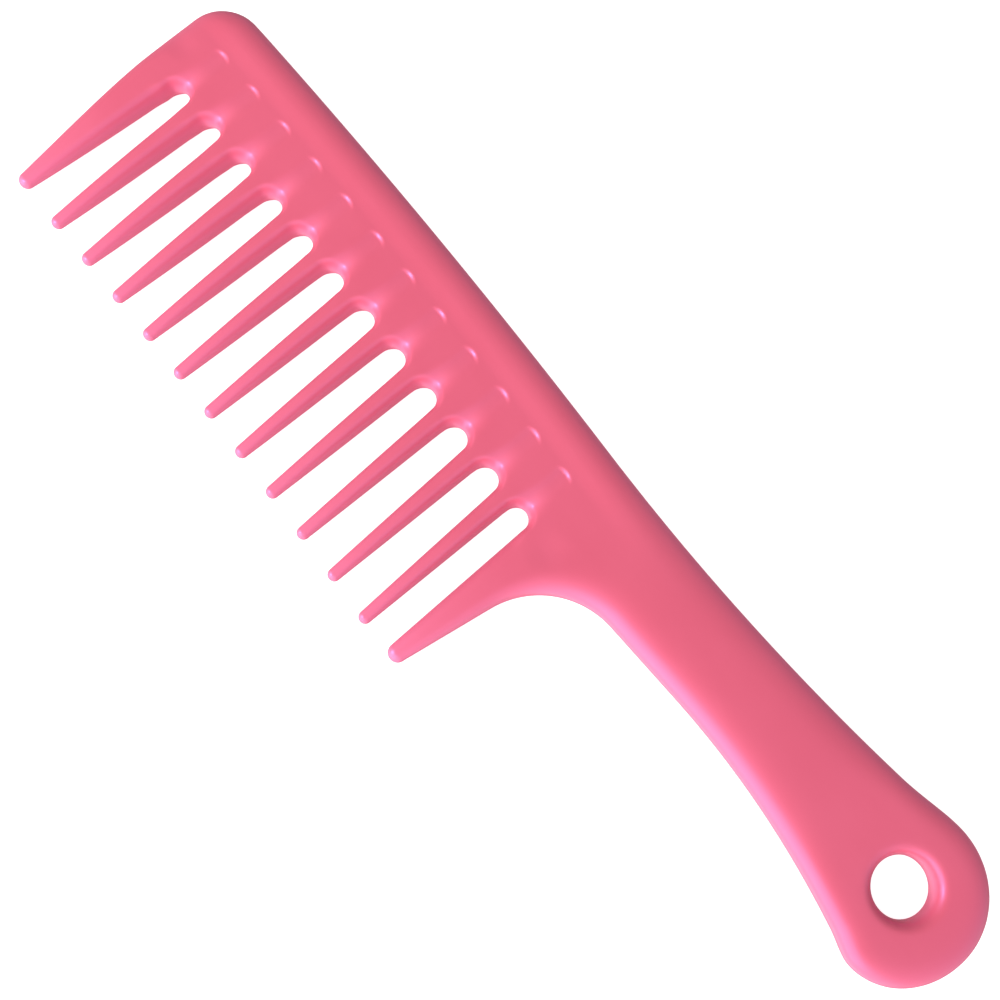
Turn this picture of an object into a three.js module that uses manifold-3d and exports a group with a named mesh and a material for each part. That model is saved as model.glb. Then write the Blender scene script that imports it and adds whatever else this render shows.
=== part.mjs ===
// A wide tooth comb: one flat moulding with a crowned back, tapered teeth and a waisted handle.
// It is shaped as one solid, and then divided on flat planes into the regions that have a name.
import * as THREE from 'three';
import { mergeVertices } from 'three/addons/utils/BufferGeometryUtils.js';
import Module from 'manifold-3d';

const wasm = await Module();
wasm.setup();

// Driving dimensions, in millimetres. In the sketch frame x runs from the head's free end to the
// handle's end, y is 0 at the crown of the back edge and falls towards the teeth, and z is 0 at mid
// thickness.
const LENGTH = 235.2;
const HALF_THICKNESS = 4;
const TOOTH_PITCH = 10;
const TOOTH_COUNT = 13;
const FIRST_TOOTH_X = 6.2;
const ROOT_DEPTH = 20;
const TIP_DEPTH = 57.9;
const TOOTH_ROOT_HALF_WIDTH = 2.25;
const TOOTH_TIP_RADIUS = 1.3;
const TIP_HALF_THICKNESS = 1.4;
const STOUT_TEETH = 3;
const STOUT_EXTRA = 0.2;

// The back edge: a long crown over the teeth, then a hollow along the handle.
const CROWN_START_X = 11.2;
const CROWN_SLOPE = -0.015;
const CROWN_RADIUS = 1500;
const HOLLOW_START_X = 123.2;
const HOLLOW_RADIUS = 500;
const HEAD_CORNER_RADIUS = 9;
const HEAD_SIDE_HANDLES = [{ x: 0, y: -28 }, { x: 1.5, y: -34 }];

// The two guard teeth at the ends of the row.
const FRONT_GUARD = { tipX: 5.2, tipY: -57.5, tipRadius: 1.6, innerRootX: 8.8 };
const REAR_GUARD = { tipX: 125.3, tipY: -63.5, tipRadius: 1.9, innerRootX: 123.35 };

// The handle: a neck fillet, a straight lower edge that bellies out, and a round end with a hole.
// The chin and the flare are the short curves that lead into the round end, below and above.
const NECK_FILLET = { x: 148.3, y: -46.2, radius: 18, endAngle: 170 };
const BELLY_START_X = 166.2;
const BELLY_END_X = 215.2;
const BELLY_RADIUS = 175;
const END_CENTRE_Y = -21.3;
const END_TOP = { x: 218.7, y: -4.75 };
const END_BOTTOM = { x: 222.2, y: -37.1 };
const CHIN_REACH = { start: 2.6, end: 2.2 };
const FLARE_START_X = 204.2;
const FLARE_REACH = { start: 6, end: 4.5 };
const HOLE = { x: 218.4, y: -20.5, radius: 5.75 };

// Edge rounding: how far in from each edge the section reaches its full thickness.
const BACK_ROUNDING = 3;
const HANDLE_ROUNDING = 6;
const HOLE_ROUNDING = 2.6;
const ROOT_ROUNDING = 1.2;
const GUARD_ROUNDING = 2.4;
const TOOTH_ROUNDING_SHARE = 0.9;
const EDGE_STEPS = 3;

// The flutes: a shallow channel above each slot, on both faces.
const FLUTE_RADIUS = 3;
const FLUTE_TOP_DEPTH = 12;
const FLUTE_TOP_CUT = 0.8;
const FLUTE_ROOT_CUT = 1.7;

// The planes that divide the moulding. The neck starts at the middle of the last slot.
const TOOTH_CUT_DEPTH = 23.5;
const REAR_GUARD_CUT_Y = -35;
const GRIP_X = 152;
const HANG_END_X = 204;
const OUTSIDE = 20;

const PINK = new THREE.Color(0xe8687f);
const ROUGHNESS = 0.3;

const radians = THREE.MathUtils.degToRad;
const toothX = (i) => FIRST_TOOTH_X + i * TOOTH_PITCH;

function backY(x) {
  const crown = (at) => CROWN_SLOPE * (at - CROWN_START_X) - (at - CROWN_START_X) ** 2 / (2 * CROWN_RADIUS);
  if (x <= CROWN_START_X) return 0;
  if (x <= HOLLOW_START_X) return crown(x);
  const slope = CROWN_SLOPE - (HOLLOW_START_X - CROWN_START_X) / CROWN_RADIUS;
  const run = x - HOLLOW_START_X;
  return crown(HOLLOW_START_X) + slope * run + run ** 2 / (2 * HOLLOW_RADIUS);
}

const rootY = (x) => backY(x) - ROOT_DEPTH;

// Half the thickness: full over the body, and falling as a parabola towards the tooth tips. The
// fall fades out across the neck fillet, past the last tooth.
function halfThickness(x, y) {
  const share = THREE.MathUtils.clamp((rootY(x) - y) / (TIP_DEPTH - ROOT_DEPTH), 0, 1);
  const toothlike = 1 - THREE.MathUtils.smoothstep(x, REAR_GUARD.tipX, NECK_FILLET.x);
  return HALF_THICKNESS - (HALF_THICKNESS - TIP_HALF_THICKNESS) * toothlike * share ** 2;
}

// A tooth's half width and side positions at a depth below the slot roots.
function toothHalfWidth(i, depth) {
  const extra = i <= STOUT_TEETH ? STOUT_EXTRA : 0;
  const share = depth / (TIP_DEPTH - ROOT_DEPTH - TOOTH_TIP_RADIUS);
  return THREE.MathUtils.lerp(TOOTH_ROOT_HALF_WIDTH + extra, TOOTH_TIP_RADIUS, Math.min(share, 1));
}

// Points along the outline, each with its rounding. They run anticlockwise, solid on the left.
function arc(x, y, radiusX, radiusY, from, to, steps, rounding) {
  return Array.from({ length: steps + 1 }, (_, k) => {
    const angle = radians(from + ((to - from) * k) / steps);
    return { x: x + radiusX * Math.cos(angle), y: y + radiusY * Math.sin(angle), rounding };
  });
}

function sampled(curve, steps, rounding) {
  return curve.getPoints(steps).map((p) => ({ x: p.x, y: p.y, rounding }));
}

function backEdge() {
  const points = [];
  const steps = 26;
  for (let k = 0; k <= steps; k += 1) {
    const x = THREE.MathUtils.lerp(FLARE_START_X, CROWN_START_X, k / steps);
    const share = THREE.MathUtils.smoothstep(x, HOLLOW_START_X, GRIP_X);
    points.push({ x, y: backY(x), rounding: THREE.MathUtils.lerp(BACK_ROUNDING, HANDLE_ROUNDING, share) });
  }
  return points;
}

function headEnd() {
  const r = HEAD_CORNER_RADIUS;
  const side = new THREE.CubicBezierCurve(
    new THREE.Vector2(0, -r),
    ...HEAD_SIDE_HANDLES.map((handle) => new THREE.Vector2(handle.x, handle.y)),
    new THREE.Vector2(FRONT_GUARD.tipX - FRONT_GUARD.tipRadius, FRONT_GUARD.tipY + FRONT_GUARD.tipRadius),
  );
  return [
    ...arc(r, -r, r, r, 90, 180, 6, BACK_ROUNDING),
    ...sampled(side, 7, GUARD_ROUNDING).slice(1, -1),
  ];
}

function roundTip(x, y, r) {
  return arc(x, y + r, r, r, 180, 360, 6, r * TOOTH_ROUNDING_SHARE);
}

function guardTip({ tipX, tipY, tipRadius }) {
  return roundTip(tipX, tipY, tipRadius);
}

// The sides of slot i, between tooth i and tooth i + 1, at its root.
function slotSides(i) {
  const left = i === 0 ? FRONT_GUARD.innerRootX : toothX(i) + toothHalfWidth(i, 0);
  const right = i === TOOTH_COUNT - 2 ? REAR_GUARD.innerRootX : toothX(i + 1) - toothHalfWidth(i + 1, 0);
  return { left, right, middle: (left + right) / 2, radius: (right - left) / 2 };
}

function slotRoot(i) {
  const { middle, radius } = slotSides(i);
  return arc(middle, rootY(middle) - radius, radius, radius, 180, 0, 8, ROOT_ROUNDING);
}

const FLANK_SHARES = [0.3, 0.52, 0.72, 0.88];

// One side of a tooth: -1 runs down its left side, and 1 runs up its right side.
function toothFlank(i, side) {
  const x = toothX(i);
  const shares = side < 0 ? FLANK_SHARES : [...FLANK_SHARES].reverse();
  return shares.map((share) => {
    const depth = share * (TIP_DEPTH - ROOT_DEPTH);
    const half = toothHalfWidth(i, depth);
    return { x: x + side * half, y: rootY(x) - depth, rounding: half * TOOTH_ROUNDING_SHARE };
  });
}

function toothTip(i) {
  return roundTip(toothX(i), backY(toothX(i)) - TIP_DEPTH, TOOTH_TIP_RADIUS);
}

// The inner side of a guard tooth, straight from its tip to its slot, or back.
function guardFlank(guard, side) {
  const tip = { x: guard.tipX + side * guard.tipRadius, y: guard.tipY + guard.tipRadius };
  const root = { x: guard.innerRootX, y: rootY(guard.innerRootX) };
  const shares = side < 0 ? FLANK_SHARES : [...FLANK_SHARES].reverse();
  return shares.map((share) => ({
    x: THREE.MathUtils.lerp(root.x, tip.x, share),
    y: THREE.MathUtils.lerp(root.y, tip.y, share),
    rounding: THREE.MathUtils.lerp(GUARD_ROUNDING, guard.tipRadius * TOOTH_ROUNDING_SHARE, share),
  }));
}

function neckFillet() {
  const { x, y, radius, endAngle } = NECK_FILLET;
  return arc(x, y, radius, radius, endAngle, 90, 9, HANDLE_ROUNDING).map((point, k, all) => ({
    ...point,
    rounding: THREE.MathUtils.lerp(GUARD_ROUNDING, HANDLE_ROUNDING, k / (all.length - 1)),
  }));
}

function lowerEdge() {
  const top = NECK_FILLET.y + NECK_FILLET.radius;
  const points = [];
  const steps = 10;
  for (let k = 0; k <= steps; k += 1) {
    const x = THREE.MathUtils.lerp(BELLY_START_X, BELLY_END_X, k / steps);
    points.push({ x, y: top - (x - BELLY_START_X) ** 2 / (2 * BELLY_RADIUS), rounding: HANDLE_ROUNDING });
  }
  return points;
}

function handleEnd() {
  const last = lowerEdge().at(-1);
  const slope = -(BELLY_END_X - BELLY_START_X) / BELLY_RADIUS;
  const chin = new THREE.CubicBezierCurve(
    new THREE.Vector2(last.x, last.y),
    new THREE.Vector2(last.x + CHIN_REACH.start, last.y + CHIN_REACH.start * slope),
    new THREE.Vector2(END_BOTTOM.x - CHIN_REACH.end, END_BOTTOM.y),
    new THREE.Vector2(END_BOTTOM.x, END_BOTTOM.y),
  );
  const flare = new THREE.CubicBezierCurve(
    new THREE.Vector2(END_TOP.x, END_TOP.y),
    new THREE.Vector2(END_TOP.x - FLARE_REACH.end, END_TOP.y),
    new THREE.Vector2(FLARE_START_X + FLARE_REACH.start, backY(FLARE_START_X + FLARE_REACH.start)),
    new THREE.Vector2(FLARE_START_X, backY(FLARE_START_X)),
  );
  const lowerWidth = LENGTH - END_BOTTOM.x;
  const upperWidth = LENGTH - END_TOP.x;
  const drop = END_CENTRE_Y - END_BOTTOM.y;
  const rise = END_TOP.y - END_CENTRE_Y;
  return [
    ...sampled(chin, 3, HANDLE_ROUNDING).slice(1, -1),
    ...arc(END_BOTTOM.x, END_CENTRE_Y, lowerWidth, drop, 270, 360, 9, HANDLE_ROUNDING).slice(0, -1),
    ...arc(END_TOP.x, END_CENTRE_Y, upperWidth, rise, 0, 90, 9, HANDLE_ROUNDING),
    ...sampled(flare, 4, HANDLE_ROUNDING).slice(1, -1),
  ];
}

function combOutline() {
  const points = [...backEdge(), ...headEnd(), ...guardTip(FRONT_GUARD), ...guardFlank(FRONT_GUARD, 1)];
  for (let i = 0; i < TOOTH_COUNT - 1; i += 1) {
    points.push(...slotRoot(i));
    if (i < TOOTH_COUNT - 2) {
      points.push(...toothFlank(i + 1, -1), ...toothTip(i + 1), ...toothFlank(i + 1, 1));
    }
  }
  points.push(...guardFlank(REAR_GUARD, -1), ...guardTip(REAR_GUARD), ...neckFillet());
  points.push(...lowerEdge(), ...handleEnd());
  return points;
}

// Clockwise, so that the solid is on its left as it is along the outline.
function holeOutline() {
  return arc(HOLE.x, HOLE.y, HOLE.radius, HOLE.radius, 360, 0, 24, HOLE_ROUNDING).slice(0, -1);
}

// The direction into the solid at each point of a closed loop.
function inwardDirections(loop) {
  return loop.map((point, k) => {
    const before = loop.at(k - 1);
    const after = loop[(k + 1) % loop.length];
    const into = (a, b) => new THREE.Vector2(-(b.y - a.y), b.x - a.x).normalize();
    return into(before, point).add(into(point, after)).normalize();
  });
}

// A slab whose edges are rounded as quarter ellipses, from rings that step in and up at once.
function roundedSlab(loops) {
  const positions = [];
  const indices = [];
  const faces = { top: [], bottom: [] };
  for (const loop of loops) {
    const inward = inwardDirections(loop);
    let below = null;
    for (let level = -EDGE_STEPS; level <= EDGE_STEPS; level += 1) {
      const angle = (Math.PI / 2) * (level / EDGE_STEPS);
      const start = positions.length / 3;
      const ring = loop.map((point, k) => {
        const step = point.rounding * (1 - Math.cos(angle));
        const x = point.x + inward[k].x * step;
        const y = point.y + inward[k].y * step;
        positions.push(x, y, halfThickness(point.x, point.y) * Math.sin(angle));
        return new THREE.Vector2(x, y);
      });
      for (let k = 0; below !== null && k < loop.length; k += 1) {
        const next = (k + 1) % loop.length;
        indices.push(below + k, below + next, start + next, below + k, start + next, start + k);
      }
      below = start;
      if (level === -EDGE_STEPS) faces.bottom.push({ ring, start });
      if (level === EDGE_STEPS) faces.top.push({ ring, start });
    }
  }
  for (const [side, rings] of Object.entries(faces)) {
    const number = rings.flatMap(({ ring, start }) => ring.map((_, k) => start + k));
    const [outer, ...holes] = rings.map(({ ring }) => ring);
    for (const [a, b, c] of THREE.ShapeUtils.triangulateShape(outer, holes)) {
      const [i, j, k] = side === 'top' ? [a, b, c] : [a, c, b];
      indices.push(number[i], number[j], number[k]);
    }
  }
  const geometry = new THREE.BufferGeometry();
  geometry.setAttribute('position', new THREE.Float32BufferAttribute(positions, 3));
  geometry.setIndex(indices);
  return toSolid(geometry);
}

function toSolid(geometry) {
  const bare = geometry.clone();
  bare.deleteAttribute('normal');
  bare.deleteAttribute('uv');
  const merged = mergeVertices(bare, 1e-5);
  return new wasm.Manifold(new wasm.Mesh({
    numProp: 3,
    vertProperties: Float32Array.from(merged.attributes.position.array),
    triVerts: Uint32Array.from(merged.index.array),
  }));
}

function block(x0, x1, y0, y1) {
  const depth = 4 * HALF_THICKNESS;
  const box = new THREE.BoxGeometry(x1 - x0, y1 - y0, depth);
  box.translate((x0 + x1) / 2, (y0 + y1) / 2, 0);
  return toSolid(box);
}

// A round-ended cutter that dives from its top end down to the slot root.
function flute(i, face) {
  const { middle } = slotSides(i);
  const at = (depth, cut) => new THREE.Vector3(
    middle, backY(middle) - depth, face * (HALF_THICKNESS - cut + FLUTE_RADIUS),
  );
  const top = at(FLUTE_TOP_DEPTH, FLUTE_TOP_CUT);
  const bottom = at(ROOT_DEPTH, FLUTE_ROOT_CUT);
  const along = new THREE.Vector3().subVectors(top, bottom);
  const cutter = new THREE.CapsuleGeometry(FLUTE_RADIUS, along.length(), 4, 14);
  const turn = new THREE.Quaternion().setFromUnitVectors(new THREE.Vector3(0, 1, 0), along.clone().normalize());
  cutter.applyQuaternion(turn);
  const centre = new THREE.Vector3().addVectors(top, bottom).multiplyScalar(0.5);
  cutter.translate(centre.x, centre.y, centre.z);
  return toSolid(cutter);
}

function combSolid() {
  const flutes = [];
  for (let i = 0; i < TOOTH_COUNT - 1; i += 1) flutes.push(flute(i, 1), flute(i, -1));
  return roundedSlab([combOutline(), holeOutline()]).subtract(wasm.Manifold.union(flutes));
}

// The block that holds each tooth, from the middle of one slot to the middle of the next.
function toothBlock(i) {
  const left = i === 0 ? -OUTSIDE : slotSides(i - 1).middle;
  const isRear = i === TOOTH_COUNT - 1;
  const right = isRear ? NECK_FILLET.x : slotSides(i).middle;
  const top = isRear ? REAR_GUARD_CUT_Y : backY(toothX(i)) - TOOTH_CUT_DEPTH;
  return block(left, right, REAR_GUARD.tipY - OUTSIDE, top);
}

function toothName(i) {
  if (i === 0) return 'front_guard_tooth';
  if (i === TOOTH_COUNT - 1) return 'rear_guard_tooth';
  return `tooth_${String(i + 1).padStart(2, '0')}`;
}

function regions() {
  const whole = combSolid();
  const found = [];
  let body = whole;
  for (let i = 0; i < TOOTH_COUNT; i += 1) {
    found.push([toothName(i), whole.intersect(toothBlock(i))]);
    body = body.subtract(toothBlock(i));
  }
  const neckX = slotSides(TOOTH_COUNT - 2).middle;
  const stations = [-OUTSIDE, neckX, GRIP_X, HANG_END_X, LENGTH + OUTSIDE];
  ['back_bar', 'neck', 'handle_grip', 'hang_end'].forEach((name, k) => {
    const slice = block(stations[k], stations[k + 1], REAR_GUARD.tipY - OUTSIDE, OUTSIDE);
    found.push([name, body.intersect(slice)]);
  });
  return found;
}

function toMesh(name, solid, shift) {
  const { vertProperties, triVerts } = solid.getMesh();
  const geometry = new THREE.BufferGeometry();
  geometry.setAttribute('position', new THREE.Float32BufferAttribute(vertProperties, 3));
  geometry.setIndex(new THREE.Uint32BufferAttribute(triVerts, 1));
  geometry.computeVertexNormals();
  const material = new THREE.MeshStandardMaterial({ color: PINK, roughness: ROUGHNESS, metalness: 0 });
  const mesh = new THREE.Mesh(geometry, material);
  mesh.name = name;
  mesh.position.copy(shift);
  return mesh;
}

// The part's frame: origin at the middle of the underside, +X to the handle, +Y to the back edge.
const shift = new THREE.Vector3(-LENGTH / 2, -REAR_GUARD.tipY / 2, HALF_THICKNESS);
const comb = new THREE.Group();
for (const [name, solid] of regions()) comb.add(toMesh(name, solid, shift));

export default comb;
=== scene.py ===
"""A wide tooth comb in glossy pink plastic, lying on a pale table.

The comb is one moulding. It is modelled as one continuous skin, from rings that step in from its
outline and a filled face, and is then divided into closed pieces where the comb's regions are named.
Sizes are in millimetres in the sketch frame: x runs from the head's free end to the handle's end,
y is 0 at the crown of the back edge and falls towards the teeth, and z is 0 at mid thickness.
"""
import math

import bpy
import numpy as np
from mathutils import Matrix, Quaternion, Vector
from mathutils.geometry import delaunay_2d_cdt
from mathutils.kdtree import KDTree


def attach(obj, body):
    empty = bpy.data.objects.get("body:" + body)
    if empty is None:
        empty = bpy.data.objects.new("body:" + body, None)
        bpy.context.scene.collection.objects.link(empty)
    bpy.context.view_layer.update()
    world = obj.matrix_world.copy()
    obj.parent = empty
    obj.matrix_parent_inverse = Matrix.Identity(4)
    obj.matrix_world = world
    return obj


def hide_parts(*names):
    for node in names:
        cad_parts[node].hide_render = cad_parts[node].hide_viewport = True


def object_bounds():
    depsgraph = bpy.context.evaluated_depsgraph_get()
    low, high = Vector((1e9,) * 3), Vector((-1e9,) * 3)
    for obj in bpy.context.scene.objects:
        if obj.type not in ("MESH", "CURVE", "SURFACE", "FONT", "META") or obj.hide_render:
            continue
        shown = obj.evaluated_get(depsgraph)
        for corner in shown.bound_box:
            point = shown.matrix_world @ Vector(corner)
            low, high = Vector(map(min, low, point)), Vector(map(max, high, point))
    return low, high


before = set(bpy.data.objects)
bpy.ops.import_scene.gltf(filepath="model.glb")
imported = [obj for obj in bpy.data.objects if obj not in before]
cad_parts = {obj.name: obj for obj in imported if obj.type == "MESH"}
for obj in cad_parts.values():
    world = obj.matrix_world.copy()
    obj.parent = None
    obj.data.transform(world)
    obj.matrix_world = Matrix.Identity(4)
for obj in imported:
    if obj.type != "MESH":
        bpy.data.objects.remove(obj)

CAD_LOW, CAD_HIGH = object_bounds()
MM = 0.001
LENGTH = (CAD_HIGH.x - CAD_LOW.x) / MM
HALF_THICKNESS = (CAD_HIGH.z - CAD_LOW.z) / MM / 2

# The row of teeth.
TOOTH_PITCH = 10.0
TOOTH_COUNT = 13
FIRST_TOOTH_X = 6.2
ROOT_DEPTH = 20.0
TIP_DEPTH = 57.9
TOOTH_ROOT_HALF_WIDTH = 2.25
TOOTH_TIP_RADIUS = 1.3
STOUT_TEETH = 3
STOUT_EXTRA = 0.2

# The back edge: a long crown over the teeth, then a hollow along the handle.
CROWN_START_X = 11.2
CROWN_SLOPE = -0.015
CROWN_RADIUS = 1500.0
HOLLOW_START_X = 123.2
HOLLOW_RADIUS = 500.0
HEAD_CORNER_RADIUS = 9.0
HEAD_SIDE_HANDLES = [(0.0, -28.0), (1.5, -34.0)]

# The guard teeth at the ends of the row: tip x, tip y, tip radius, and x of the inner side's root.
FRONT_GUARD = (5.2, -57.5, 1.6, 8.8)
REAR_GUARD = (125.3, -63.5, 1.9, 123.35)

# The handle: a neck fillet, a lower edge that bellies out, and a round end with a hole.
NECK_CENTRE = (148.3, -46.2)
NECK_RADIUS = 18.0
NECK_START_ANGLE = 170.0
BELLY_START_X = 166.2
BELLY_END_X = 215.2
BELLY_RADIUS = 175.0
END_CENTRE_Y = -21.3
END_TOP = (218.7, -4.75)
END_BOTTOM = (222.2, -37.1)
CHIN_REACH = (2.6, 2.2)
FLARE_START_X = 204.2
FLARE_REACH = (6.0, 4.5)
HOLE_CENTRE = (218.4, -20.5)
HOLE_RADIUS = 5.75

# How far in from each edge the rounding reaches, and how full its curve is: 2 is an ellipse, and a
# higher power is squarer.
BACK_EDGE = (6.0, 2.7)
GUARD_EDGE = (2.6, 2.3)
TOOTH_EDGE_SHARE = 0.92
TOOTH_FULLNESS = 2.3
ROOT_EDGE = (1.6, 2.1)
HANDLE_EDGE = (9.0, 2.9)
HANG_END_EDGE = (6.0, 2.8)
HOLE_EDGE = (2.6, 2.5)
EDGE_LEVELS = 13

# The faces' relief: a spine along the back, a thinner web, and a flute that runs into each slot.
SPINE_END = 4.5
WEB_START = 9.5
WEB_HALF_THICKNESS = 3.7
TIP_HALF_THICKNESS = 1.4
TAPER_POWER = 2.2
FLUTE_START = 9.2
FLUTE_WALL = 1.0
FLUTE_DEPTH = 0.4
FLUTE_BOW = 0.13
FLUTE_END_HALF_WIDTH = 2.6
FLUTE_ROLL_START = 13.5
FLUTE_ROLL_POWER = 2.4
FLUTE_ROOT_DEPTH = 1.7
FLUTE_FLAT_HALF_WIDTH = 0.3
FLUTE_HALF_WIDTH = 3.4
FLUTE_RUN_OUT = 5.0
SINK_DEPTH = 0.15
SINKS = [(3.7, -14.8, 4.0), (130.0, -28.5, 5.0)]

# Where the moulding is divided: depths and places of the planes between its named regions.
TOOTH_CUT_DEPTH = 23.5
REAR_GUARD_CUT_Y = -35.0
REAR_GUARD_CUT_ANGLE = 150.0
GRIP_X = 152.0
HANG_END_X = 204.0

# Where the edge's rounding changes: along the handle's end, below a slot's root, and along a guard.
END_BLEND = (HANG_END_X - 16.0, HANG_END_X + 6.0)
ROOT_BLEND = 4.0
GUARD_ROOT_DROP = 2.6
GUARD_BLEND_SHARE = 0.12

# Spacing of the points along the edges and over the faces.
LONG_STEP = 0.8
BEND_STEP = 0.5
ROOT_STEP = 0.34
TIP_STEP = 0.26
WEB_STEP = 0.45
WALL_STEP = 0.2
PLAIN_STEP = 1.2
WEB_PAST_ROW = 8.0
WEB_PAST_CUTS = 4.0
WALL_BAND_BELOW = 1.5
WALL_BAND_ABOVE = 0.5
WALL_BAND_SIDE = 0.3
CLOSEST_SHARE = 0.6
WELD_DISTANCE = 1e-7


def smoothstep(value, low, high):
    share = np.clip((np.asarray(value, float) - low) / (high - low), 0, 1)
    return share * share * (3 - 2 * share)


def lerp(start, end, share):
    return start + (end - start) * share


def tooth_x(number):
    return FIRST_TOOTH_X + TOOTH_PITCH * number


def back_y(x):
    """Height of the back edge above x."""
    x = np.asarray(x, float)
    run_in = np.clip(x, CROWN_START_X, HOLLOW_START_X) - CROWN_START_X
    crown = CROWN_SLOPE * run_in - run_in**2 / (2 * CROWN_RADIUS)
    slope = CROWN_SLOPE - (HOLLOW_START_X - CROWN_START_X) / CROWN_RADIUS
    run = np.maximum(x - HOLLOW_START_X, 0)
    return crown + slope * run + run**2 / (2 * HOLLOW_RADIUS)


def root_y(x):
    return back_y(x) - ROOT_DEPTH


def tooth_half_width(number, depth):
    """Half a tooth's width at a depth below the slot roots."""
    root = TOOTH_ROOT_HALF_WIDTH + (STOUT_EXTRA if number <= STOUT_TEETH else 0)
    share = np.minimum(depth / (TIP_DEPTH - ROOT_DEPTH - TOOTH_TIP_RADIUS), 1)
    return lerp(root, TOOTH_TIP_RADIUS, share)


def slot_sides(number):
    """Left and right side, at the root, of the slot after a tooth."""
    left = tooth_x(number) + tooth_half_width(number, 0)
    right = tooth_x(number + 1) - tooth_half_width(number + 1, 0)
    if number == 0:
        left = FRONT_GUARD[3]
    if number == TOOTH_COUNT - 2:
        right = REAR_GUARD[3]
    return left, right


def slot_middle(number):
    return sum(slot_sides(number)) / 2


# Stretches of the outline. Each is an array of rows: x, y, rounding and fullness of the edge.
def stretch(points, rounding, fullness):
    rows = np.zeros((len(points), 4))
    rows[:, :2] = points
    rows[:, 2] = rounding
    rows[:, 3] = fullness
    return rows


def arc(x, y, radius_x, radius_y, start, end, step):
    length = math.radians(abs(end - start)) * (radius_x + radius_y) / 2
    angles = np.radians(np.linspace(start, end, max(int(length / step), 6) + 1))
    return np.column_stack([x + radius_x * np.cos(angles), y + radius_y * np.sin(angles)])


def line(start, end, step):
    count = max(round(math.dist(start, end) / step), 1)
    shares = np.linspace(0, 1, count + 1)[:, None]
    return lerp(np.array(start, float), np.array(end, float), shares)


def bezier(start, start_handle, end_handle, end, step):
    count = max(round(math.dist(start, end) / step), 4)
    t = np.linspace(0, 1, count + 1)[:, None]
    corners = np.array([start, start_handle, end_handle, end], float)
    weights = np.hstack([(1 - t) ** 3, 3 * t * (1 - t) ** 2, 3 * t**2 * (1 - t), t**3])
    return weights @ corners


def back_edge():
    count = round((FLARE_START_X - CROWN_START_X) / LONG_STEP)
    x = np.linspace(FLARE_START_X, CROWN_START_X, count + 1)
    into_handle = smoothstep(x, HOLLOW_START_X, GRIP_X)
    to_end = smoothstep(x, *END_BLEND)
    rounding = lerp(lerp(BACK_EDGE[0], HANDLE_EDGE[0], into_handle), HANG_END_EDGE[0], to_end)
    fullness = lerp(BACK_EDGE[1], HANDLE_EDGE[1], into_handle)
    return stretch(np.column_stack([x, back_y(x)]), rounding, fullness)


def head_end():
    """The round corner at the head and the bowed side down to the front guard tooth's tip."""
    r = HEAD_CORNER_RADIUS
    tip_x, tip_y, tip_radius, _ = FRONT_GUARD
    corner = stretch(arc(r, -r, r, r, 90, 180, BEND_STEP), *BACK_EDGE)
    points = bezier((0, -r), *HEAD_SIDE_HANDLES, (tip_x - tip_radius, tip_y + tip_radius), LONG_STEP)
    narrowing = smoothstep(-points[:, 1], r, ROOT_DEPTH + ROOT_BLEND)
    to_tip = np.clip((-points[:, 1] - ROOT_DEPTH) / (-tip_y - ROOT_DEPTH), 0, 1)
    rounding = lerp(BACK_EDGE[0], lerp(GUARD_EDGE[0], tip_radius * TOOTH_EDGE_SHARE, to_tip), narrowing)
    fullness = lerp(BACK_EDGE[1], GUARD_EDGE[1], narrowing)
    return [corner, stretch(points, rounding, fullness)[1:-1]]


def round_tip(x, y, radius):
    points = arc(x, y + radius, radius, radius, 180, 360, TIP_STEP)
    return stretch(points, radius * TOOTH_EDGE_SHARE, TOOTH_FULLNESS)


def slot_root(number):
    left, right = slot_sides(number)
    middle, radius = (left + right) / 2, (right - left) / 2
    points = arc(middle, root_y(middle) - radius, radius, radius, 180, 0, ROOT_STEP)
    return stretch(points, *ROOT_EDGE)


def tooth_flank(number, side):
    """One side of a tooth: -1 runs down its left side, and 1 runs up its right side."""
    x = tooth_x(number)
    start = TOOTH_PITCH / 2 - TOOTH_ROOT_HALF_WIDTH
    end = TIP_DEPTH - ROOT_DEPTH - TOOTH_TIP_RADIUS
    depths = np.linspace(start, end, round((end - start) / LONG_STEP) + 1)[1:-1]
    half = tooth_half_width(number, depths)
    settled = smoothstep(depths, start, start + ROOT_BLEND)
    rounding = lerp(ROOT_EDGE[0], half * TOOTH_EDGE_SHARE, settled)
    rows = stretch(np.column_stack([x + side * half, root_y(x) - depths]), rounding, TOOTH_FULLNESS)
    return rows if side < 0 else rows[::-1]


def guard_inner_side(guard, side):
    """The straight side of a guard tooth that faces the row: -1 runs down it, and 1 runs up it."""
    tip_x, tip_y, tip_radius, root_x = guard
    root = (root_x, float(root_y(root_x)) - GUARD_ROOT_DROP)
    tip = (tip_x + side * tip_radius, tip_y + tip_radius)
    points = line(root, tip, LONG_STEP)[1:-1]
    share = np.linspace(0, 1, len(points) + 2)[1:-1]
    along = lerp(GUARD_EDGE[0], tip_radius * TOOTH_EDGE_SHARE, share)
    rounding = lerp(ROOT_EDGE[0], along, smoothstep(share, 0, GUARD_BLEND_SHARE))
    rows = stretch(points, rounding, TOOTH_FULLNESS)
    return rows if side < 0 else rows[::-1]


def rear_guard_outer_side():
    tip_x, tip_y, tip_radius, _ = REAR_GUARD
    start = arc(*NECK_CENTRE, NECK_RADIUS, NECK_RADIUS, NECK_START_ANGLE, 90, BEND_STEP)[0]
    points = line((tip_x + tip_radius, tip_y + tip_radius), start, LONG_STEP)[1:-1]
    share = np.linspace(0, 1, len(points))
    return stretch(points, lerp(tip_radius * TOOTH_EDGE_SHARE, GUARD_EDGE[0], share), TOOTH_FULLNESS)


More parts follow.
